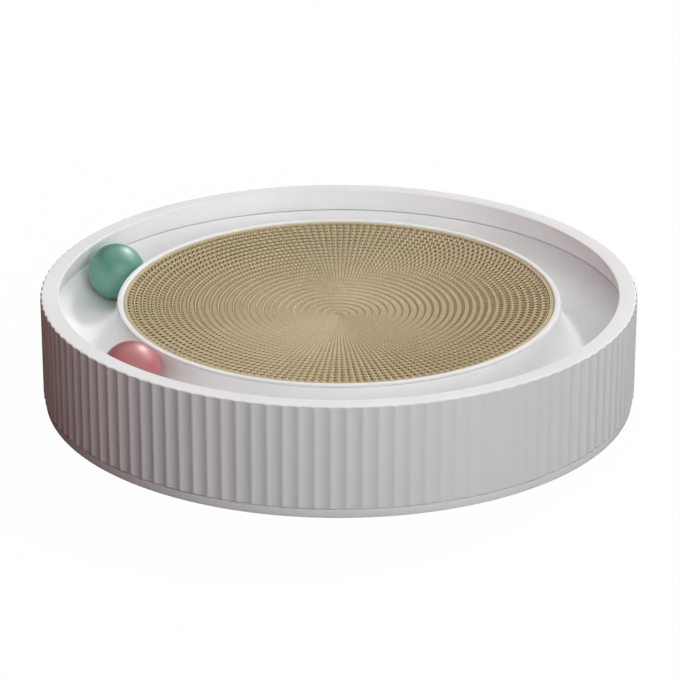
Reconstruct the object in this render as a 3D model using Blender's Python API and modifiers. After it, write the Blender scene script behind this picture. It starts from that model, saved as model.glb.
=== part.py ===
"""Round cat scratcher: a fluted drum with a ball track around a dished corrugated pad.

The model is in metres with +Z up. The origin is on the floor, on the drum's axis.
"""
import math

import bmesh
import bpy
from mathutils import Matrix, Vector

COLLECTION_NAME = "cat_scratcher_with_ball_track"

# Overall sizes
PAD_RADIUS = 0.1448
DRUM_HEIGHT = 0.0772
FOOT_PROUD = 0.0010

# Balls
BALL_DIAMETER = 0.0392
BALL_WALL = 0.0022
BALL_PROUD = 0.0026
BALL_SEAM = 0.0003
TONGUE_LENGTH = 0.0009
TONGUE_THICKNESS = 0.0009
BALLS = {"green": 155.7, "coral": 218.0}

# Bell in each ball
BELL_DIAMETER = 0.0120
BELL_WALL = 0.0007
BELL_SLIT_WIDTH = 0.0016
PELLET_DIAMETER = 0.0032

# Outer shell
RIM_WIDTH = 0.0124
RIM_THICKNESS = 0.0025
RIM_FILLET = 0.0008
FLUTE_COUNT = 126
FLUTE_DEPTH = 0.0008
FLUTE_SEGMENTS = 3
SHELL_WALL = 0.0020
SHELL_EDGE_BREAK = 0.0006
SKIRT_WALL = 0.0015
SKIRT_DEPTH = 0.0173
SKIRT_SLOT = 0.0011

# Base plate
BAND_HEIGHT = 0.0062
BAND_INSET = 0.0006
BAND_EDGE_BREAK = 0.0007
SHADOW_GROOVE = 0.0005
BASE_FLOOR = 0.0025
SPIGOT_HEIGHT = 0.0060
SPIGOT_WALL = 0.0023
LOCATING_RING_WALL = 0.0020
LOCATING_RING_HEIGHT = 0.0030

# Track tray
TRAY_WALL = 0.0020
TRAY_REACH = 0.0251
TRAY_EDGE_WIDTH = 0.0012
REVEAL_GAP = 0.0008

# Pad cup
LIP_DROP = 0.0075
LIP_WIDTH = 0.0045
LIP_THICKNESS = 0.0012
LIP_STEP = 0.0004
LIP_ROUND = 0.0010
CUP_WALL = 0.0022
CUP_FLOOR = 0.0022

# Corrugated pad
PAD_EDGE_DROP = 0.0008
PAD_DISH = 0.0121
PAD_THICKNESS = 0.0300
RING_PITCH = 0.0051
MOST_LOOPS = 24
POINTS_PER_LOOP = 24
WINDING_GAP = 0.0005
WRAP_THICKNESS = 0.0024
SMALLEST_CORE = 0.0080

# Screws and their bosses
SCREW_DIAMETER = 0.0030
SCREW_LENGTH = 0.0140
SCREW_HEAD_DIAMETER = 0.0060
SCREW_HEAD_HEIGHT = 0.0021
SCREW_HEAD_DEPTH = 0.0005
BOSS_DIAMETER = 0.0080
BOSS_ROOT = 0.0005
SHELL_BOSS_HEIGHT = 0.0240
PILOT_BEYOND = 0.0030
SCREW_PAD_DIAMETER = 0.0090
SCREW_PAD_HEIGHT = 0.0063
SHELL_SCREWS = 6
CUP_SCREWS = 4
CUP_SCREW_RADIUS = 0.1000

# Feet
FOOT_COUNT = 6
FOOT_DIAMETER = 0.0180
FOOT_THICKNESS = 0.0019
FOOT_EDGE_BREAK = 0.0004
FOOT_INSET = 0.0220

# Fits
SEAT_GAP = 0.0003
PAD_CLEARANCE = 0.0003
BALL_CLEARANCE = 0.0005
BELL_CLEARANCE = 0.0008
SCREW_CLEARANCE = 0.0003
BOSS_CLEARANCE = 0.0004

# Facets
TURN_STEPS = 56
CORE_STEPS = 24
BALL_STEPS = 18
BALL_OUTSIDE_STEPS = 6
BALL_INSIDE_STEPS = 4
TRACK_STEPS = 8
BELL_STEPS = 10
BOSS_STEPS = 8
SCREW_STEPS = 8
FOOT_STEPS = 12
FILLET_STEPS = 2
COVE_STEPS = 4
SHARP_ANGLE = math.radians(35)
FLAT_ANGLE = math.radians(1)
CUTTER_MARGIN = 0.0050
MERGE_DISTANCE = 0.00001

# Radii, from the pad outwards
BALL_RADIUS = BALL_DIAMETER / 2
TRACK_SECTION = BALL_RADIUS + BALL_CLEARANCE
WELL_RADIUS = PAD_RADIUS + PAD_CLEARANCE
HUB_RADIUS = WELL_RADIUS + LIP_WIDTH
TRACK_RADIUS = HUB_RADIUS + TRACK_SECTION
TRAY_EDGE_RADIUS = TRACK_RADIUS + TRAY_REACH
SKIRT_RADIUS = TRAY_EDGE_RADIUS + SEAT_GAP
WALL_INNER_RADIUS = SKIRT_RADIUS + SKIRT_WALL + SKIRT_SLOT
DRUM_RADIUS = WALL_INNER_RADIUS + SHELL_WALL + FLUTE_DEPTH
RIM_INNER_RADIUS = DRUM_RADIUS - RIM_WIDTH
BAND_RADIUS = DRUM_RADIUS - BAND_INSET
CUP_OUTER_RADIUS = WELL_RADIUS + CUP_WALL
BOSS_RING_RADIUS = WALL_INNER_RADIUS + BOSS_ROOT - BOSS_DIAMETER / 2
FOOT_RING_RADIUS = DRUM_RADIUS - FOOT_INSET

# Heights, from the floor upwards
BASE_BOTTOM = FOOT_PROUD
BASE_TOP = BASE_BOTTOM + BASE_FLOOR
BAND_TOP = BASE_BOTTOM + BAND_HEIGHT
SCREW_PAD_TOP = BASE_BOTTOM + SCREW_PAD_HEIGHT
SHELL_BOTTOM = max(BAND_TOP + SHADOW_GROOVE, SCREW_PAD_TOP + SEAT_GAP)
SHELL_SEAT = SHELL_BOTTOM - SEAT_GAP
BALL_HEIGHT = DRUM_HEIGHT + BALL_PROUD - BALL_RADIUS
TRACK_HEIGHT = BALL_HEIGHT - SEAT_GAP + BALL_CLEARANCE
SKIRT_BOTTOM = DRUM_HEIGHT - SKIRT_DEPTH
TRAY_EDGE_TOP = SKIRT_BOTTOM - REVEAL_GAP
TRACK_FLOOR = TRACK_HEIGHT - TRACK_SECTION
LIP_TOP = DRUM_HEIGHT - LIP_DROP
FLANK_TOP = LIP_TOP - LIP_THICKNESS - SEAT_GAP
PAD_EDGE_TOP = LIP_TOP - PAD_EDGE_DROP
SKIRT_FOOT = BASE_TOP + SEAT_GAP
BOSS_BOTTOM = SCREW_PAD_TOP + SEAT_GAP
HEAD_TOP = BASE_BOTTOM + SCREW_HEAD_DEPTH + SCREW_HEAD_HEIGHT
SCREW_TIP = HEAD_TOP + SCREW_LENGTH

WHITE = ("white_plastic", (0.80, 0.80, 0.80), 0.38, 0.0)
GREEN = ("green_plastic", (0.080, 0.305, 0.205), 0.30, 0.0)
CORAL = ("coral_plastic", (0.578, 0.127, 0.141), 0.30, 0.0)
CARDBOARD = ("corrugated_board", (0.434, 0.352, 0.205), 0.85, 0.0)
RUBBER = ("foot_rubber", (0.30, 0.30, 0.30), 0.70, 0.0)
STEEL = ("steel", (0.60, 0.60, 0.60), 0.30, 1.0)


def clear_scene():
    """Remove the objects and collections that the file holds."""
    for scene_object in list(bpy.data.objects):
        bpy.data.objects.remove(scene_object, do_unlink=True)
    for collection in list(bpy.data.collections):
        bpy.data.collections.remove(collection)


def make_collection(name):
    """Add a collection to the scene."""
    collection = bpy.data.collections.new(name)
    bpy.context.scene.collection.children.link(collection)
    return collection


def make_material(name, colour, roughness, metallic):
    """Make a Principled material, or return the one already made."""
    material = bpy.data.materials.get(name)
    if material is None:
        material = bpy.data.materials.new(name)
        material.use_nodes = True
        shader = material.node_tree.nodes["Principled BSDF"]
        shader.inputs["Base Color"].default_value = (*colour, 1.0)
        shader.inputs["Roughness"].default_value = roughness
        shader.inputs["Metallic"].default_value = metallic
        material.diffuse_color = (*colour, 1.0)
    return material


def link_mesh(name, mesh, collection):
    """Add an object that shows a mesh."""
    new_object = bpy.data.objects.new(name, mesh)
    collection.objects.link(new_object)
    return new_object


def add_empty(name, collection, location=(0.0, 0.0, 0.0), parent=None):
    """Add an empty that marks a joint's axis or a centre."""
    empty = bpy.data.objects.new(name, None)
    empty.empty_display_size = 0.01
    empty.location = location
    empty.parent = parent
    collection.objects.link(empty)
    return empty


def arc(centre_x, centre_z, radius, start_deg, end_deg, steps):
    """Points of an arc in the profile plane, both ends included."""
    points = []
    for index in range(steps + 1):
        angle = math.radians(start_deg + (end_deg - start_deg) * index / steps)
        points.append((centre_x + radius * math.cos(angle), centre_z + radius * math.sin(angle)))
    return points


def arc_round(centre_x, centre_z, radius, start_deg, end_deg, steps):
    """Corners of an arc whose flats touch the radius, so that what fits in it keeps its clearance."""
    step = (end_deg - start_deg) / steps
    corner_radius = radius / math.cos(math.radians(step / 2))
    return arc(centre_x, centre_z, corner_radius, start_deg + step / 2, end_deg - step / 2,
               steps - 1)


def on_ring(radius, angle_deg, height=0.0):
    """A point on a ring about the drum's axis."""
    angle = math.radians(angle_deg)
    return Vector((radius * math.cos(angle), radius * math.sin(angle), height))


def turned(name, profile, collection, steps=TURN_STEPS):
    """Turn a profile of (radius, height) points about Z, as a closed solid.

    A profile that starts and ends on the axis stays open there, and any other is a closed loop.
    """
    on_axis = profile[0][0] == 0.0 and profile[-1][0] == 0.0
    mesh = bpy.data.meshes.new(name)
    edges = [(index, index + 1) for index in range(len(profile) - 1)]
    if not on_axis:
        edges.append((len(profile) - 1, 0))
    mesh.from_pydata([(radius, 0.0, height) for radius, height in profile], edges, [])
    body = link_mesh(name, mesh, collection)
    screw = body.modifiers.new("Turn", "SCREW")
    screw.axis = "Z"
    screw.steps = steps
    screw.render_steps = steps
    screw.use_merge_vertices = True
    screw.merge_threshold = MERGE_DISTANCE
    return body


def ring_of_cylinders(name, collection, radius, bottom, top, centres, steps=BOSS_STEPS):
    """Upright cylinders in one object, for use as a cutter or as a set of bosses."""
    mesh = bpy.data.meshes.new(name)
    shape = bmesh.new()
    for centre in centres:
        place = Matrix.Translation((centre.x, centre.y, (bottom + top) / 2))
        bmesh.ops.create_cone(shape, cap_ends=True, segments=steps, radius1=radius,
                              radius2=radius, depth=top - bottom, matrix=place)
    shape.to_mesh(mesh)
    shape.free()
    return link_mesh(name, mesh, collection)


def combine(body, tool, operation):
    """Cut a body by a tool, or join the tool to it."""
    boolean = body.modifiers.new(operation.title(), "BOOLEAN")
    boolean.operation = operation
    boolean.solver = "EXACT"
    boolean.object = tool
    tool.hide_render = True
    tool.display_type = "WIRE"


def finish(body, look):
    """Make the modified shape the object's own mesh, shaded smooth between its sharp edges."""
    bpy.context.view_layer.update()
    evaluated = body.evaluated_get(bpy.context.evaluated_depsgraph_get())
    mesh = bpy.data.meshes.new_from_object(evaluated)
    body.modifiers.clear()
    body.data = mesh
    mesh.name = body.name
    mesh.materials.clear()
    mesh.materials.append(make_material(*look))
    mesh.shade_smooth()
    mesh.set_sharp_from_angle(angle=SHARP_ANGLE)
    return body


def screw_centres(ring_radius, count):
    """Places of screws spread evenly on a ring."""
    step = 360.0 / count
    return [on_ring(ring_radius, step * (index + 0.5)) for index in range(count)]


def flute_radius(fraction):
    """Radius of the fluted wall at a fraction of one flute, from ridge tip to ridge tip."""
    half_pitch = math.pi * DRUM_RADIUS / FLUTE_COUNT
    arc_radius = (half_pitch ** 2 + FLUTE_DEPTH ** 2) / (2 * FLUTE_DEPTH)
    across = (2 * fraction - 1) * half_pitch
    depth = math.sqrt(arc_radius ** 2 - across ** 2) - (arc_radius - FLUTE_DEPTH)
    return DRUM_RADIUS - depth


def make_fluted_disc(name, collection):
    """A solid disc whose rim has upright concave flutes, as high as the shell."""
    outline = bpy.data.curves.new(name, "CURVE")
    outline.dimensions = "2D"
    outline.fill_mode = "BOTH"
    outline.extrude = (DRUM_HEIGHT - SHELL_BOTTOM) / 2
    point_count = FLUTE_COUNT * FLUTE_SEGMENTS
    spline = outline.splines.new("POLY")
    spline.points.add(point_count - 1)
    for index, point in enumerate(spline.points):
        radius = flute_radius((index % FLUTE_SEGMENTS) / FLUTE_SEGMENTS)
        spot = on_ring(radius, 360.0 * index / point_count)
        point.co = (spot.x, spot.y, 0.0, 1.0)
    spline.use_cyclic_u = True
    guide = bpy.data.objects.new(name + "_outline", outline)
    collection.objects.link(guide)
    bpy.context.view_layer.update()
    mesh = bpy.data.meshes.new_from_object(
        guide.evaluated_get(bpy.context.evaluated_depsgraph_get()))
    bpy.data.objects.remove(guide)
    weld_mesh(mesh)
    disc = link_mesh(name, mesh, collection)
    mesh.transform(Matrix.Translation((0.0, 0.0, (DRUM_HEIGHT + SHELL_BOTTOM) / 2)))
    top = disc.vertex_groups.new(name="rim_edge")
    top.add([vertex.index for vertex in mesh.vertices if vertex.co.z > LIP_TOP], 1.0, "REPLACE")
    edge = disc.modifiers.new("Edge break", "BEVEL")
    edge.width = SHELL_EDGE_BREAK
    edge.segments = 1
    edge.limit_method = "VGROUP"
    edge.vertex_group = top.name
    return disc


def weld_mesh(mesh):
    """Join the loose caps of a mesh made from a curve, and merge its flat faces."""
    shape = bmesh.new()
    shape.from_mesh(mesh)
    bmesh.ops.remove_doubles(shape, verts=shape.verts, dist=MERGE_DISTANCE)
    bmesh.ops.dissolve_limit(shape, angle_limit=FLAT_ANGLE, verts=shape.verts, edges=shape.edges)
    shape.to_mesh(mesh)
    shape.free()


def shell_inside_profile():
    """What the shell leaves free: the opening, and the slot between sloping skirt and wall."""
    above = DRUM_HEIGHT + CUTTER_MARGIN
    below = SHELL_BOTTOM - CUTTER_MARGIN
    cavity_top = DRUM_HEIGHT - RIM_THICKNESS
    fillet_x = RIM_INNER_RADIUS + RIM_FILLET
    fillet = arc(fillet_x, DRUM_HEIGHT - RIM_FILLET, RIM_FILLET, 90, 180, FILLET_STEPS)
    slope = (SKIRT_RADIUS - RIM_INNER_RADIUS) / (SKIRT_DEPTH - RIM_FILLET)
    cavity_inner = RIM_INNER_RADIUS + slope * (RIM_THICKNESS - RIM_FILLET) + SKIRT_WALL
    return [
        (0.0, above),
        (fillet_x, above),
        *fillet,
        (SKIRT_RADIUS, SKIRT_BOTTOM),
        (SKIRT_RADIUS + SKIRT_WALL, SKIRT_BOTTOM),
        (cavity_inner, cavity_top),
        (WALL_INNER_RADIUS, cavity_top),
        (WALL_INNER_RADIUS, below),
        (0.0, below),
    ]


def make_outer_shell(parts, cutters):
    """Fluted outer wall, flat rim, inner skirt and the bosses that the screws bite into."""
    shell = make_fluted_disc("outer_shell", parts)
    combine(shell, turned("shell_inside", shell_inside_profile(), cutters), "DIFFERENCE")
    centres = screw_centres(BOSS_RING_RADIUS, SHELL_SCREWS)
    boss_top = BOSS_BOTTOM + SHELL_BOSS_HEIGHT
    bosses = ring_of_cylinders("shell_bosses", cutters, BOSS_DIAMETER / 2, SHELL_BOTTOM,
                               boss_top, centres)
    combine(shell, bosses, "UNION")
    pilots = ring_of_cylinders("shell_pilots", cutters, SCREW_DIAMETER / 2 + SCREW_CLEARANCE,
                               SHELL_BOTTOM - CUTTER_MARGIN, SCREW_TIP + PILOT_BEYOND, centres)
    combine(shell, pilots, "DIFFERENCE")
    return finish(shell, WHITE)


def base_profile():
    """Floor, locating ring, spigot and the smooth band under the flutes."""
    ring_inner = TRACK_RADIUS + TRAY_WALL / 2 + SEAT_GAP
    ring_outer = ring_inner + LOCATING_RING_WALL
    ring_top = BASE_TOP + LOCATING_RING_HEIGHT
    spigot_outer = WALL_INNER_RADIUS - SEAT_GAP
    spigot_inner = spigot_outer - SPIGOT_WALL
    spigot_top = SHELL_SEAT + SPIGOT_HEIGHT
    seat_outer = BAND_RADIUS - SHELL_WALL / 2
    return [
        (0.0, BASE_TOP),
        (ring_inner, BASE_TOP),
        (ring_inner, ring_top),
        (ring_outer, ring_top),
        (ring_outer, BASE_TOP),
        (spigot_inner, BASE_TOP),
        (spigot_inner, spigot_top),
        (spigot_outer, spigot_top),
        (spigot_outer, SHELL_SEAT),
        (seat_outer, SHELL_SEAT),
        (seat_outer, BAND_TOP),
        (BAND_RADIUS, BAND_TOP),
        (BAND_RADIUS, BASE_BOTTOM + BAND_EDGE_BREAK),
        (BAND_RADIUS - BAND_EDGE_BREAK, BASE_BOTTOM),
        (0.0, BASE_BOTTOM),
    ]


def make_base_plate(parts, cutters):
    """Bottom moulding with foot recesses and counterbored screw pads."""
    base = turned("base_plate", base_profile(), parts)
    shell_centres = screw_centres(BOSS_RING_RADIUS, SHELL_SCREWS)
    centres = shell_centres + screw_centres(CUP_SCREW_RADIUS, CUP_SCREWS)
    pads = ring_of_cylinders("screw_pads", cutters, SCREW_PAD_DIAMETER / 2, BASE_BOTTOM,
                             SCREW_PAD_TOP, centres)
    combine(base, pads, "UNION")
    clearances = ring_of_cylinders("boss_clearances", cutters,
                                   BOSS_DIAMETER / 2 + BOSS_CLEARANCE, SCREW_PAD_TOP,
                                   SHELL_SEAT + SPIGOT_HEIGHT + CUTTER_MARGIN, shell_centres)
    combine(base, clearances, "DIFFERENCE")
    holes = ring_of_cylinders("screw_holes", cutters, SCREW_DIAMETER / 2 + SCREW_CLEARANCE,
                              BASE_BOTTOM, SCREW_PAD_TOP + CUTTER_MARGIN, centres, SCREW_STEPS)
    combine(base, holes, "DIFFERENCE")
    counterbores = ring_of_cylinders("counterbores", cutters,
                                     SCREW_HEAD_DIAMETER / 2 + SCREW_CLEARANCE,
                                     BASE_BOTTOM - CUTTER_MARGIN, HEAD_TOP + SEAT_GAP, centres)
    combine(base, counterbores, "DIFFERENCE")
    recesses = ring_of_cylinders("foot_recesses", cutters, FOOT_DIAMETER / 2 + SEAT_GAP,
                                 BASE_BOTTOM - CUTTER_MARGIN, FOOT_THICKNESS + SEAT_GAP,
                                 foot_centres(), FOOT_STEPS)
    combine(base, recesses, "DIFFERENCE")
    return finish(base, WHITE)


def cove(centre_z, radius, steps):
    """Outer side of the channel, from its floor up to the edge under the skirt."""
    edge_angle = math.degrees(math.asin((TRAY_EDGE_TOP - centre_z) / radius))
    return arc(TRACK_RADIUS, centre_z, radius, -90, edge_angle, steps)


def tray_profile():
    """Channel with its inner flank, its wider outer cove and the ring wall it stands on."""
    rise = TRAY_EDGE_TOP - TRACK_FLOOR
    cove_radius = (TRAY_REACH ** 2 + rise ** 2) / (2 * rise)
    cove_centre = TRACK_FLOOR + cove_radius
    outer_section = TRACK_SECTION + TRAY_WALL
    stem = TRAY_WALL / 2
    stem_top = TRACK_FLOOR - TRAY_WALL
    half_steps = TRACK_STEPS // 2
    edge_bottom = TRAY_EDGE_TOP - TRAY_EDGE_WIDTH
    underside = cove(cove_centre, cove_radius + TRAY_WALL, COVE_STEPS)
    return [
        (HUB_RADIUS - TRAY_WALL, FLANK_TOP),
        (HUB_RADIUS, FLANK_TOP),
        *arc_round(TRACK_RADIUS, TRACK_HEIGHT, TRACK_SECTION, 180, 270, half_steps),
        *cove(cove_centre, cove_radius, COVE_STEPS),
        (TRAY_EDGE_RADIUS + TRAY_EDGE_WIDTH, TRAY_EDGE_TOP),
        (TRAY_EDGE_RADIUS + TRAY_EDGE_WIDTH, edge_bottom),
        *reversed(underside[1:-1]),
        (TRACK_RADIUS + stem, stem_top),
        (TRACK_RADIUS + stem, SKIRT_FOOT),
        (TRACK_RADIUS - stem, SKIRT_FOOT),
        (TRACK_RADIUS - stem, stem_top),
        *arc_round(TRACK_RADIUS, TRACK_HEIGHT, outer_section, 270, 180, half_steps),
    ]


def make_track_tray(parts):
    """The channel that the balls run in."""
    return finish(turned("track_tray", tray_profile(), parts), WHITE)


def pad_top(radius):
    """Height of the dished pad's upper face at a radius."""
    return PAD_EDGE_TOP - PAD_DISH * (1 - radius / PAD_RADIUS)


def cup_profile():
    """Lip, wall and dished floor that hold the pad, and the ring wall that they stand on."""
    floor_edge = pad_top(WELL_RADIUS) - PAD_THICKNESS - SEAT_GAP
    floor_centre = pad_top(0.0) - PAD_THICKNESS - SEAT_GAP
    lip_outer = HUB_RADIUS - LIP_STEP
    inner_round = arc(WELL_RADIUS + LIP_ROUND, LIP_TOP - LIP_ROUND, LIP_ROUND, 180, 90, FILLET_STEPS)
    outer_round = arc(lip_outer - LIP_ROUND, LIP_TOP - LIP_ROUND, LIP_ROUND, 90, 0, FILLET_STEPS)
    return [
        (0.0, floor_centre),
        (WELL_RADIUS, floor_edge),
        *inner_round,
        *outer_round,
        (lip_outer, LIP_TOP - LIP_THICKNESS),
        (CUP_OUTER_RADIUS, LIP_TOP - LIP_THICKNESS),
        (CUP_OUTER_RADIUS, SKIRT_FOOT),
        (WELL_RADIUS, SKIRT_FOOT),
        (WELL_RADIUS, floor_edge - CUP_FLOOR),
        (0.0, floor_centre - CUP_FLOOR),
    ]


def make_pad_cup(parts, cutters):
    """The cup that the pad drops into, with bosses under its floor."""
    cup = turned("pad_cup", cup_profile(), parts)
    centres = screw_centres(CUP_SCREW_RADIUS, CUP_SCREWS)
    floor_middle = pad_top(CUP_SCREW_RADIUS) - PAD_THICKNESS - SEAT_GAP - CUP_FLOOR / 2
    bosses = ring_of_cylinders("cup_bosses", cutters, BOSS_DIAMETER / 2, BOSS_BOTTOM,
                               floor_middle, centres)
    combine(cup, bosses, "UNION")
    pilot_top = min(SCREW_TIP + PILOT_BEYOND, floor_middle - CUP_FLOOR)
    pilots = ring_of_cylinders("cup_pilots", cutters, SCREW_DIAMETER / 2 + SCREW_CLEARANCE,
                               BOSS_BOTTOM - CUTTER_MARGIN, pilot_top, centres, SCREW_STEPS)
    combine(cup, pilots, "DIFFERENCE")
    return finish(cup, WHITE)


def winding_sizes():
    """Number of loops, radius of the first and last centre line, and strip thickness."""
    strip = RING_PITCH - WINDING_GAP
    last = PAD_RADIUS - WRAP_THICKNESS - WINDING_GAP - strip / 2
    room = last - strip / 2 - WINDING_GAP - SMALLEST_CORE
    loops = min(MOST_LOOPS, int(room / RING_PITCH))
    first = last - loops * RING_PITCH
    return loops, first, last, strip


def winding_points():
    """Centre line of the wound strip, a spiral that sinks towards the middle of the dish."""
    loops, first, last, _ = winding_sizes()
    steps = loops * POINTS_PER_LOOP
    points = []
    for index in range(steps + 1):
        radius = first + (last - first) * index / steps
        height = pad_top(radius) - PAD_THICKNESS / 2
        points.append(on_ring(radius, 360.0 * index / POINTS_PER_LOOP, height))
    return points


def least_self_gap(points, thickness):
    """Smallest clear distance between neighbouring loops, measured at points and mid-points."""
    least = math.inf
    for index in range(len(points) - POINTS_PER_LOOP - 1):
        start = points[index + POINTS_PER_LOOP].xy
        along = (points[index + POINTS_PER_LOOP + 1].xy - start).normalized()
        for probe in (points[index].xy, (points[index].xy + points[index + 1].xy) / 2):
            across = probe - start
            distance = abs(along.x * across.y - along.y * across.x)
            least = min(least, distance - thickness)
    return least


def make_pad_winding(parts):
    """One unbroken strip of corrugated board, wound edge-up round the core."""
    strip = winding_sizes()[3]
    points = winding_points()
    ribbon = bpy.data.curves.new("pad_winding", "CURVE")
    ribbon.dimensions = "3D"
    ribbon.twist_mode = "Z_UP"
    ribbon.extrude = PAD_THICKNESS / 2
    spline = ribbon.splines.new("POLY")
    spline.points.add(len(points) - 1)
    for spline_point, spot in zip(spline.points, points):
        spline_point.co = (*spot, 1.0)
    winding = bpy.data.objects.new("pad_winding", ribbon)
    parts.objects.link(winding)
    thicken = winding.modifiers.new("Board", "SOLIDIFY")
    thicken.thickness = strip
    thicken.offset = 0.0
    thicken.use_even_offset = True
    bpy.context.view_layer.update()
    mesh = bpy.data.meshes.new_from_object(
        winding.evaluated_get(bpy.context.evaluated_depsgraph_get()))
    bpy.data.objects.remove(winding)
    gap_mm = least_self_gap(points, strip) * 1000
    print(f"pad_winding: least gap between loops {gap_mm:.3f} mm")
    return finish(link_mesh("pad_winding", mesh, parts), CARDBOARD)


def make_pad_core(parts):
    """The tight middle of the roll, dished like the rest of the pad."""
    _, first, _, strip = winding_sizes()
    radius = first - strip / 2 - WINDING_GAP
    profile = [
        (0.0, pad_top(0.0)),
        (radius, pad_top(radius)),
        (radius, pad_top(radius) - PAD_THICKNESS),
        (0.0, pad_top(0.0) - PAD_THICKNESS),
    ]
    return finish(turned("pad_core", profile, parts, CORE_STEPS), CARDBOARD)


def make_pad_wrap(parts):
    """The smooth liner glued round the outside of the roll."""
    inner = PAD_RADIUS - WRAP_THICKNESS
    profile = [
        (inner, pad_top(inner)),
        (PAD_RADIUS, pad_top(PAD_RADIUS)),
        (PAD_RADIUS, pad_top(PAD_RADIUS) - PAD_THICKNESS),
        (inner, pad_top(inner) - PAD_THICKNESS),
    ]
    return finish(turned("pad_wrap", profile, parts), CARDBOARD)


def groove_half_profile():
    """Half of the ball, with the groove that takes the other half's tongue."""
    inner = BALL_RADIUS - BALL_WALL
    seam = BALL_SEAM / 2
    groove_radius = BALL_RADIUS - (BALL_WALL - TONGUE_THICKNESS) + SEAT_GAP
    groove_depth = TONGUE_LENGTH + SEAT_GAP
    seam_angle = math.degrees(math.asin(seam / BALL_RADIUS))
    groove_angle = math.degrees(math.asin(groove_depth / inner))
    outside = arc(0.0, 0.0, BALL_RADIUS, 90, seam_angle, BALL_OUTSIDE_STEPS)
    inside = arc(0.0, 0.0, inner, groove_angle, 90, BALL_INSIDE_STEPS)
    return [
        (0.0, BALL_RADIUS),
        *outside[1:],
        (groove_radius, seam),
        (groove_radius, groove_depth),
        *inside[:-1],
        (0.0, inner),
    ]


def tongue_half_profile():
    """Half of the ball, with the tongue that centres the other half."""
    inner = BALL_RADIUS - BALL_WALL
    seam = BALL_SEAM / 2
    seam_angle = math.degrees(math.asin(seam / BALL_RADIUS))
    outside = arc(0.0, 0.0, BALL_RADIUS, 90, seam_angle, BALL_OUTSIDE_STEPS)
    inside = arc(0.0, 0.0, inner, 0, 90, BALL_INSIDE_STEPS)
    return [
        (0.0, BALL_RADIUS),
        *outside[1:],
        (inner + TONGUE_THICKNESS, seam),
        (inner + TONGUE_THICKNESS, -TONGUE_LENGTH),
        (inner, -TONGUE_LENGTH),
        *inside[:-1],
        (0.0, inner),
    ]


def make_ball_halves(colour, azimuth, look, orbit, parts):
    """Two welded half shells whose seam runs along the track; they roll on the radial axis."""
    place = on_ring(TRACK_RADIUS, azimuth, BALL_HEIGHT)
    centre = add_empty(f"{colour}_ball_centre", parts, place, orbit)
    outward = on_ring(1.0, azimuth).to_track_quat("Z", "Y").to_euler()
    centre.rotation_euler = outward
    outer = turned(f"{colour}_ball_outer_half", groove_half_profile(), parts, BALL_STEPS)
    inner = turned(f"{colour}_ball_inner_half", tongue_half_profile(), parts, BALL_STEPS)
    for half in (outer, inner):
        finish(half, look)
        half.parent = centre
    inner.rotation_euler = (math.pi, 0.0, 0.0)


def make_bell(colour, azimuth, orbit, parts, cutters):
    """A slit jingle bell that lies loose at the bottom of the ball, and its pellet."""
    bell_radius = BELL_DIAMETER / 2
    inner_radius = bell_radius - BELL_WALL
    pellet_radius = PELLET_DIAMETER / 2
    drop = BALL_RADIUS - BALL_WALL - BELL_CLEARANCE - bell_radius
    centre = on_ring(TRACK_RADIUS, azimuth, BALL_HEIGHT - drop)
    bell = add_sphere(f"{colour}_ball_bell", bell_radius, centre, parts)
    combine(bell, add_sphere(f"{colour}_bell_hollow", inner_radius, centre, cutters), "DIFFERENCE")
    slit = add_box(f"{colour}_bell_slit", (BELL_DIAMETER, BELL_SLIT_WIDTH, bell_radius), cutters)
    slit.location = centre + Vector((0.0, 0.0, bell_radius / 2 + BELL_WALL))
    slit.rotation_euler = (0.0, 0.0, math.radians(azimuth))
    combine(bell, slit, "DIFFERENCE")
    finish(bell, STEEL)
    rest = centre - Vector((0.0, 0.0, inner_radius - pellet_radius - BELL_CLEARANCE))
    pellet = add_sphere(f"{colour}_ball_bell_pellet", pellet_radius, rest, parts, 8, 5)
    finish(pellet, STEEL)
    for piece in (bell, pellet):
        piece.parent = orbit


def add_sphere(name, radius, centre, collection, segments=BELL_STEPS, rings=6):
    """A sphere with its poles up and down."""
    mesh = bpy.data.meshes.new(name)
    shape = bmesh.new()
    bmesh.ops.create_uvsphere(shape, u_segments=segments, v_segments=rings, radius=radius)
    shape.to_mesh(mesh)
    shape.free()
    sphere = link_mesh(name, mesh, collection)
    sphere.location = centre
    return sphere


def add_box(name, size, collection):
    """A box about its own centre."""
    mesh = bpy.data.meshes.new(name)
    shape = bmesh.new()
    bmesh.ops.create_cube(shape, size=1.0, matrix=Matrix.Diagonal((*size, 1.0)))
    shape.to_mesh(mesh)
    shape.free()
    return link_mesh(name, mesh, collection)


def screw_profile():
    """A self-tapping screw standing on its pan head, tip up."""
    shank = SCREW_DIAMETER / 2
    head = SCREW_HEAD_DIAMETER / 2
    head_bottom = HEAD_TOP - SCREW_HEAD_HEIGHT
    return [
        (0.0, SCREW_TIP),
        (shank, SCREW_TIP - SCREW_DIAMETER),
        (shank, HEAD_TOP),
        (head, HEAD_TOP),
        (head, head_bottom + SCREW_HEAD_HEIGHT / 3),
        (head - SCREW_HEAD_HEIGHT / 3, head_bottom),
        (0.0, head_bottom),
    ]


def make_screws(prefix, centres, parts):
    """Screws that share one mesh."""
    first = finish(turned(f"{prefix}_1", screw_profile(), parts, SCREW_STEPS), STEEL)
    first.location = centres[0]
    for number, centre in enumerate(centres[1:], start=2):
        link_mesh(f"{prefix}_{number}", first.data, parts).location = centre


def foot_centres():
    """Places of the feet, midway between the shell's screws."""
    return [on_ring(FOOT_RING_RADIUS, 360.0 * index / FOOT_COUNT) for index in range(FOOT_COUNT)]


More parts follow.
